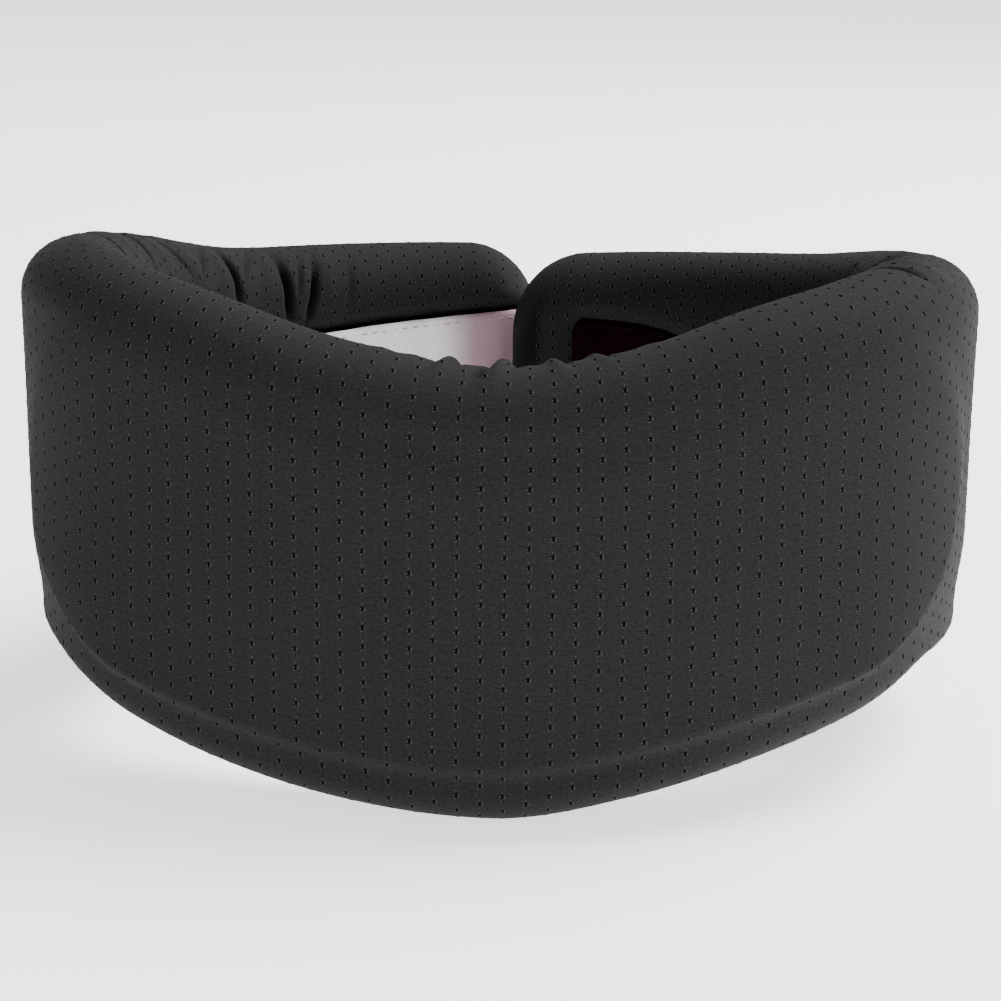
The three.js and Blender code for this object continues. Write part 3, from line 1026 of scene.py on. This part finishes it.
class COLLAR_OT_patches(bpy.types.Operator):
    """Closing patches: pale hook tape in the left end, dark loop pile outside the right end"""

    bl_idname = "collar.patches"
    bl_label = "Closing patches"

    def execute(self, context):
        size = sizes()
        low = -LENGTH[-1] + size.left_end_rim + HOOK_MARGIN
        self.patch("hook_patch", LEFT, (low, low + size.hook_length), HOOK_CORNER, 1.0 * MM,
                   material("hooked_weave", hook_material), "hook_tape")
        high = LENGTH[1] - LOOP_FROM_END
        self.patch("loop_patch", RIGHT, (high - size.loop_length, high), LOOP_CORNER, 1.5 * MM,
                   material("looped_pile", pile_material), "loop_pile")
        return {"FINISHED"}

    def patch(self, node, side, reach, corner, thickness, surface, slot):
        low, high = reach
        s = stations_between(low, high, 1.5 * MM, corner, corner)
        away = end_distances(s, low, high, True, True)
        if side == LEFT:
            z_low, z_high = inner_band(s, HOOK_MARGIN, away, corner)
            inwards = recess_floor(s)[:, None] + HOOK_LIFT
        else:
            z_low, z_high = outer_band(s, LOOP_MARGIN, away, corner)
            inwards = LOOP_LIFT
        piece, area = sheet_piece(node + "_cloth", s, z_low, z_high, inwards, thickness, surface, 44)
        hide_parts(node)
        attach(piece, BODIES[side])


# ---- the foam core and the board --------------------------------------------------------------------

FOAM_INSET = 4.2 * MM
FOAM_HALF_DEPTH = 5.4 * MM
FOAM_OFFSET = 0.4 * MM         # the slab lies this far inwards of the middle


class COLLAR_OT_core(bpy.types.Operator):
    """Foam band inside the cover, and the board's plastic"""

    bl_idname = "collar.core"
    bl_label = "Foam core"

    def execute(self, context):
        for side in (LEFT, FRONT, RIGHT):
            piece = self.foam(side)
            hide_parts("foam_" + side)
            ride_or_blend(piece, side)
        board = bpy.data.objects["support_board"]
        board.data.materials.clear()
        board.data.materials.append(material("milky_sheet", board_material))
        return {"FINISHED"}

    def foam(self, side):
        """A smooth slab with round edges, well inside the cover and clear of the board."""
        low, high = side_range(side)
        low += FOAM_INSET * 2 * (side == LEFT)
        high -= FOAM_INSET * 2 * (side == RIGHT)
        s = np.linspace(low, high, 60)
        bottom, top, _ = edges(s)
        turn = np.linspace(0, math.tau, 33)[:-1][None, :]
        middle, tall = (bottom + top)[:, None] / 2, (top - bottom)[:, None] / 2 - FOAM_INSET
        corner = np.sign(np.cos(turn)) * np.abs(np.cos(turn)) ** 0.35
        rise = np.sign(np.sin(turn)) * np.abs(np.sin(turn)) ** 0.5
        along = s[:, None] + 0 * turn
        inwards = HALF_THICKNESS + FOAM_OFFSET + FOAM_HALF_DEPTH * corner
        points = place(along, inwards, middle + tall * rise)
        around = turn.shape[1]
        faces = grid_faces(len(s), around).tolist()
        last = (len(s) - 1) * around
        faces.append(list(range(around)))
        faces.append([last + k for k in reversed(range(around))])
        piece = new_piece("foam_" + side + "_core", points.reshape(-1, 3), faces,
                          surface=material("open_cell_foam", foam_material))
        outward_faces(piece)
        return piece


# ---- Geometry Nodes: perforations and stitches ----------------------------------------------------


def geometry_tree(name, inputs):
    """A Geometry Nodes tree with named inputs; returns the builder and its group input."""
    tree = bpy.data.node_groups.new(name, "GeometryNodeTree")
    tree.interface.new_socket("Geometry", in_out="INPUT", socket_type="NodeSocketGeometry")
    tree.interface.new_socket("Geometry", in_out="OUTPUT", socket_type="NodeSocketGeometry")
    for label, kind in inputs:
        tree.interface.new_socket(label, in_out="INPUT", socket_type="NodeSocket" + kind)
    builder = Nodes(tree)
    return builder, builder.add("NodeGroupInput").outputs


def finish_tree(builder, geometry, surface=None):
    """Ends a tree in Realize Instances and Set Material."""
    last = builder.add("GeometryNodeRealizeInstances", Geometry=geometry).outputs[0]
    if surface:
        last = builder.add("GeometryNodeSetMaterial", Geometry=last, Material=surface).outputs[0]
    output = builder.add("NodeGroupOutput")
    builder.feed(output.inputs[0], last)
    return builder.tree


def grow(source, tree, values, name):
    """Runs a tree on a source object and returns what it makes as a plain mesh object."""
    modifier = source.modifiers.new(name, "NODES")
    modifier.node_group = tree
    for item in tree.interface.items_tree:
        if item.item_type == "SOCKET" and item.name in values:
            modifier[item.identifier] = values[item.name]
    graph = bpy.context.evaluated_depsgraph_get()
    mesh = bpy.data.meshes.new_from_object(source.evaluated_get(graph), depsgraph=graph)
    source.modifiers.remove(modifier)
    mesh.name = name
    piece = bpy.data.objects.new(name, mesh)
    bpy.context.scene.collection.objects.link(piece)
    return piece


# Beside each slot, in mm: across, up, width and height.
EYELET_SHADE = [(-0.30, 0.16, 0.46, 0.20), (-0.22, -0.34, 0.34, 0.20)]
EYELET_YARN = [(-0.42, -0.10, 0.20, 0.34), (0.40, -0.10, 0.17, 0.80), (-0.24, -0.72, 0.34, 0.18),
               (-0.05, 0.90, 0.16, 0.50)]


def pellet(builder, size, spot, surface, sides=6, rings=4):
    """A small ellipsoid of a given size, moved to a spot, in its own material."""
    ball = builder.add("GeometryNodeMeshUVSphere", Segments=sides, Rings=rings, Radius=0.5).outputs[0]
    moved = builder.add("GeometryNodeTransform", Geometry=ball, Translation=spot, Scale=size)
    return builder.add("GeometryNodeSetMaterial", Geometry=moved.outputs[0],
                       Material=surface).outputs[0]


STRAY = (0.09 * MM, 0.12 * MM, 0)   # how far an eyelet may stray along and up the cloth
LOOK_UP = 1.0 * MM                  # the way up the cloth is taken from a place so far above


def eyelet_places(builder, given):
    """Points for the eyelets, and the place of each on the flat cloth, in staggered columns."""
    index = builder.add("GeometryNodeInputIndex").outputs[0]
    column = builder.maths("FLOOR", builder.maths("DIVIDE", index, given["Rows"]))
    row = builder.maths("SUBTRACT", index, builder.maths("MULTIPLY", column, given["Rows"]))
    stagger = builder.maths("MULTIPLY", builder.maths("MODULO", column, 2.0), 0.5)
    along = builder.maths("MULTIPLY_ADD", column, given["Column pitch"], given["First column"])
    up = builder.maths("MULTIPLY_ADD", builder.maths("ADD", row, stagger), given["Row pitch"],
                       given["First row"])
    grid = builder.add("GeometryNodeMeshGrid", Size_X=1.0, Size_Y=1.0)
    builder.feed(grid.inputs["Vertices X"], given["Columns"])
    builder.feed(grid.inputs["Vertices Y"], given["Rows"])
    points = builder.add("GeometryNodeMeshToPoints", Mesh=grid.outputs[0]).outputs[0]
    spread = builder.random_vector(tuple(-reach for reach in STRAY), STRAY, given["Seed"])
    here = builder.add("ShaderNodeCombineXYZ", X=along, Y=up).outputs[0]
    return points, builder.vector("ADD", here, spread)


def standing_copies(builder, instance, points, spot, facing, upwards, chosen):
    """Copies of the instance at the chosen points, facing off the cloth, with Y up it."""
    kept = builder.add("GeometryNodeCaptureAttribute")
    kept.capture_items.new("VECTOR", "spot")
    kept.capture_items.new("VECTOR", "normal")
    kept.capture_items.new("VECTOR", "up")
    kept.capture_items.new("BOOLEAN", "chosen")
    builder.feed(kept.inputs[0], points)
    for slot, value in zip(kept.inputs[1:], (spot, facing, upwards, chosen)):
        builder.feed(slot, value)
    moved = builder.add("GeometryNodeSetPosition", Geometry=kept.outputs[0],
                        Position=kept.outputs[1]).outputs[0]
    turn = builder.add("FunctionNodeAxesToRotation", {"primary_axis": "Z", "secondary_axis": "Y"})
    builder.feed(turn.inputs[0], kept.outputs[2])
    builder.feed(turn.inputs[1], kept.outputs[3])
    instances = builder.add("GeometryNodeInstanceOnPoints", Points=moved)
    builder.feed(instances.inputs["Selection"], kept.outputs[4])
    builder.feed(instances.inputs["Instance"], instance)
    builder.feed(instances.inputs["Rotation"], turn.outputs[0])
    return instances.outputs[0]


def perforation_tree():
    """Eyelets in columns: each a dark slot between drawn stitches, with light yarn beside it."""
    builder, given = geometry_tree("Perforations", [
        ("Columns", "Int"), ("Rows", "Int"), ("First column", "Float"), ("First row", "Float"),
        ("Column pitch", "Float"), ("Row pitch", "Float"), ("Hole width", "Float"),
        ("Hole height", "Float"), ("Proud", "Float"), ("Seed", "Int")])
    cover = given["Geometry"]
    points, here = eyelet_places(builder, given)
    above = builder.vector("ADD", here, (0.0, LOOK_UP, 0.0))
    position = builder.add("GeometryNodeInputPosition").outputs[0]
    normal = builder.add("GeometryNodeInputNormal").outputs[0]
    spot, valid = builder.on_cloth(cover, position, here)
    higher, valid_above = builder.on_cloth(cover, position, above)
    facing, _ = builder.on_cloth(cover, normal, here)
    shows, _ = builder.on_cloth(cover, builder.attribute("shows"), here)
    lifted = builder.vector("ADD", spot, builder.scaled(facing, given["Proud"]))
    upwards = builder.vector("SUBTRACT", higher, spot)
    chosen = builder.both(builder.both(valid, valid_above), builder.over(shows, 0.5))
    copies = standing_copies(builder, eyelet(builder, given), points, lifted, facing, upwards, chosen)
    return finish_tree(builder, copies)


def eyelet(builder, given):
    """One eyelet: a dark slot with a nick to one side, between floats of lighter yarn."""
    # The dark slot and the dark bits to its left are painted shade inside the hole.
    dark = material("hole_shade", hole_material)
    light = material("yarn_float", yarn_material)
    slot_size = builder.add("ShaderNodeCombineXYZ", X=given["Hole width"], Y=given["Hole height"],
                            Z=0.12 * MM).outputs[0]
    join = builder.add("GeometryNodeJoinGeometry")
    parts = [pellet(builder, slot_size, (0.0, 0.0, 0.0), dark, 8, 3)]
    for surface, table in ((dark, EYELET_SHADE), (light, EYELET_YARN)):
        for x, y, wide, tall in table:
            size = (wide * MM, tall * MM, 0.13 * MM)
            parts.append(pellet(builder, size, (x * MM, y * MM, 0.0), surface, 5, 2))
    for part in parts:
        builder.tree.links.new(part, join.inputs[0])
    return join.outputs[0]


def stitch_tree(surface):
    """Short threads along the edges of a path."""
    builder, given = geometry_tree("Stitches " + surface.name, [
        ("Pitch", "Float"), ("Stitch length", "Float"), ("Thread", "Float")])
    path = builder.add("GeometryNodeMeshToCurve", Mesh=given["Geometry"]).outputs[0]
    even = builder.add("GeometryNodeResampleCurve", Curve=path)
    if "Mode" in even.inputs:
        even.inputs["Mode"].default_value = "Length"
    else:
        even.mode = "LENGTH"
    builder.feed(even.inputs["Length"], given["Pitch"])
    tangent = builder.add("GeometryNodeInputTangent").outputs[0]
    turn = builder.add("FunctionNodeAlignRotationToVector", {"axis": "X"}, Vector=tangent)
    size = builder.add("ShaderNodeCombineXYZ", X=given["Stitch length"], Y=given["Thread"],
                       Z=given["Thread"]).outputs[0]
    instances = builder.add("GeometryNodeInstanceOnPoints", Points=even.outputs[0])
    builder.feed(instances.inputs["Instance"], pellet(builder, size, (0.0, 0.0, 0.0), surface))
    builder.feed(instances.inputs["Rotation"], turn.outputs[0])
    return finish_tree(builder, instances.outputs[0], surface)


class COLLAR_OT_perforations(bpy.types.Operator):
    """Staggered columns of small eyelets all over the knit"""

    bl_idname = "collar.perforations"
    bl_label = "Perforations"

    def execute(self, context):
        size = sizes()
        tree = perforation_tree()
        for side in (LEFT, FRONT, RIGHT):
            low, high = side_range(side)
            first = 2 * math.floor(low / size.column_pitch / 2)
            values = {
                "Columns": int((high - low) / size.column_pitch) + 4,
                "Rows": PERFORATION_ROWS,
                "First column": (first - COLUMN_SHARE) * size.column_pitch,
                "First row": PERFORATION_FLOOR,
                "Column pitch": size.column_pitch,
                "Row pitch": size.row_pitch,
                "Hole width": size.hole_width,
                "Hole height": size.hole_height,
                "Proud": 0.02 * MM,
                "Seed": 7,
            }
            piece = grow(bpy.data.objects[CAD_NODES[side] + "_knit"], tree, values,
                         "perforations_" + side)
            ride_or_blend(piece, side)
        return {"FINISHED"}


class COLLAR_OT_stitching(bpy.types.Operator):
    """Seams: the lining along the rims, and the borders of both patches"""

    bl_idname = "collar.stitching"
    bl_label = "Stitching"

    def execute(self, context):
        size = sizes()
        dark = stitch_tree(material("dark_thread", dark_thread_material))
        pale = stitch_tree(material("pale_thread", pale_thread_material))
        for side in (LEFT, FRONT, RIGHT):
            low, high = lining_reach(side)
            ends = (side == LEFT, side == RIGHT)
            reach = (low + SEAM_INSET * ends[0], high - SEAM_INSET * ends[1])
            self.seam("lining_seam_" + side, side, dark, reach, ends, 0.8 * MM, WINDOW_CORNER,
                      LINING_LIFT + LINING_THICKNESS / 2)
        low = -LENGTH[-1] + size.left_end_rim + HOOK_MARGIN + SEAM_INSET
        reach = (low, low + size.hook_length - 2 * SEAM_INSET)
        self.seam("hook_seam", LEFT, pale, reach, (True, True), HOOK_MARGIN + SEAM_INSET,
                  HOOK_CORNER - SEAM_INSET, HOOK_LIFT + 0.5 * MM)
        high = LENGTH[1] - LOOP_FROM_END - SEAM_INSET
        reach = (high - size.loop_length + 2 * SEAM_INSET, high)
        self.seam("loop_seam", RIGHT, dark, reach, (True, True), LOOP_MARGIN + SEAM_INSET,
                  LOOP_CORNER - SEAM_INSET, LOOP_LIFT - 0.75 * MM)
        return {"FINISHED"}

    def seam(self, name, side, tree, reach, ends, margin, corner, lift):
        """Stitches round a band: one line under its top, one over its bottom, and its ends."""
        size = sizes()
        low, high = reach
        s = stations_between(low, high, 2.5 * MM, *(corner * end for end in ends))
        away = end_distances(s, low, high, *ends)
        outside = name == "loop_seam"
        band = outer_band if outside else inner_band
        z_low, z_high = band(s, margin, away, corner)
        inwards = lift + (0 * s if outside else recess_floor(s))
        top_line = place(s, inwards, z_high)
        bottom_line = place(s, inwards, z_low)
        points = np.concatenate([top_line, bottom_line[::-1]])
        count = len(s)
        links = [(k, k + 1) for k in range(2 * count - 1) if k != count - 1]
        if ends[1]:
            links.append((count - 1, count))
        if ends[0]:
            links.append((2 * count - 1, 0))
        mesh = bpy.data.meshes.new(name + "_path")
        mesh.from_pydata(points.tolist(), links, [])
        path = bpy.data.objects.new(name + "_path", mesh)
        bpy.context.scene.collection.objects.link(path)
        values = {"Pitch": size.stitch_pitch, "Stitch length": 0.68 * size.stitch_pitch,
                  "Thread": 0.36 * MM}
        piece = grow(path, tree, values, name)
        bpy.data.objects.remove(path)
        if name in ("hook_seam", "loop_seam"):
            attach(piece, BODIES[side])
        else:
            ride_or_blend(piece, side)


# ---- floor, lights and camera ------------------------------------------------------------------------

VIEW_TURN = 2.65               # degrees round the collar from its front
VIEW_PITCH = 15.57             # degrees down
VIEW_ROLL = 0.58
VIEW_DISTANCE = 384.8 * MM
VIEW_TARGET = (1.58 * MM, 0.0, 64.3 * MM)
LENS = 79.4


def area_light(name, place_at, aim, size, watts):
    data = bpy.data.lights.new(name, "AREA")
    data.shape = "DISK"
    data.size = size
    data.energy = watts
    lamp = bpy.data.objects.new(name, data)
    lamp.location = place_at
    direction = Vector(aim) - Vector(place_at)
    lamp.rotation_euler = direction.to_track_quat("-Z", "Y").to_euler()
    bpy.context.scene.collection.objects.link(lamp)


FLOOR_HALF = 9                 # metres
SKY_GLOW = 0.44                # strength of the sky to the front and back,
SKY_LEAN = 0.40                # and how much more on the right and less on the left
LIT_POINT = (0, 0, 0.05)
LIGHTS = {                     # place and width in metres, power in watts
    "key": ((0.9, 0.45, 1.6), 1.4, 84),
    "front": ((0.8, -1.7, 1.0), 1.0, 9),
}


class COLLAR_OT_stage(bpy.types.Operator):
    """Pale floor, soft studio light and the camera"""

    bl_idname = "collar.stage"
    bl_label = "Stage"

    def execute(self, context):
        turns = ((-1, -1), (1, -1), (1, 1), (-1, 1))
        corners = [(x * FLOOR_HALF, y * FLOOR_HALF, 0) for x, y in turns]
        floor = new_piece("floor", corners, [(0, 1, 2, 3)],
                          surface=material("floor", floor_material))
        world = bpy.data.worlds.new("studio")
        world.use_nodes = True
        background = world.node_tree.nodes["Background"]
        sky = Nodes(world.node_tree)
        direction = sky.add("ShaderNodeTexCoord").outputs["Generated"]
        sideways = sky.add("ShaderNodeSeparateXYZ", Vector=direction).outputs["X"]
        glow = sky.maths("MULTIPLY_ADD", sideways, SKY_LEAN, SKY_GLOW)
        # The backdrop shows white, and what lights the object is dimmer and uneven.
        seen = sky.add("ShaderNodeLightPath").outputs["Is Camera Ray"]
        sky.feed(background.inputs["Strength"], sky.maths("MAXIMUM", glow, seen))
        background.inputs["Color"].default_value = (1, 1, 1, 1)
        context.scene.world = world
        for name, (spot, width, power) in LIGHTS.items():
            area_light(name, spot, LIT_POINT, width, power)
        self.camera(context)
        return {"FINISHED"}

    def camera(self, context):
        turn, pitch = math.radians(VIEW_TURN), math.radians(VIEW_PITCH)
        forward = Vector((-math.sin(turn) * math.cos(pitch), math.cos(turn) * math.cos(pitch),
                          -math.sin(pitch)))
        target = Vector(VIEW_TARGET) + Vector((*SHIFT, 0))
        data = bpy.data.cameras.new("view")
        data.lens = LENS
        data.sensor_width = 36
        camera = bpy.data.objects.new("view", data)
        camera.location = target - forward * VIEW_DISTANCE
        turned = forward.to_track_quat("-Z", "Y").to_matrix().to_4x4()
        roll = Matrix.Rotation(math.radians(VIEW_ROLL), 4, "Z")
        camera.rotation_euler = (turned @ roll).to_euler()
        context.scene.collection.objects.link(camera)
        context.scene.camera = camera


class COLLAR_PT_panel(bpy.types.Panel):
    """Lists the operators that build the collar"""

    bl_label = "Soft cervical collar"
    bl_idname = "COLLAR_PT_panel"
    bl_space_type = "VIEW_3D"
    bl_region_type = "UI"
    bl_category = "Collar"

    def draw(self, context):
        for operator in OPERATORS:
            self.layout.operator(operator.bl_idname)


OPERATORS = (
    COLLAR_OT_stage,
    COLLAR_OT_cover,
    COLLAR_OT_perforations,
    COLLAR_OT_lining,
    COLLAR_OT_patches,
    COLLAR_OT_stitching,
    COLLAR_OT_core,
)
CLASSES = (CollarSizes, CollarColours, *OPERATORS, COLLAR_PT_panel)


def register():
    for cls in CLASSES:
        bpy.utils.register_class(cls)
    bpy.types.Scene.collar_sizes = bpy.props.PointerProperty(type=CollarSizes)
    bpy.types.Scene.collar_colours = bpy.props.PointerProperty(type=CollarColours)


def unregister():
    del bpy.types.Scene.collar_colours
    del bpy.types.Scene.collar_sizes
    for cls in reversed(CLASSES):
        bpy.utils.unregister_class(cls)


def main():
    register()
    for operator in OPERATORS:
        name = operator.bl_idname.split(".")[1]
        getattr(bpy.ops.collar, name)()


if __name__ == "__main__":
    main()
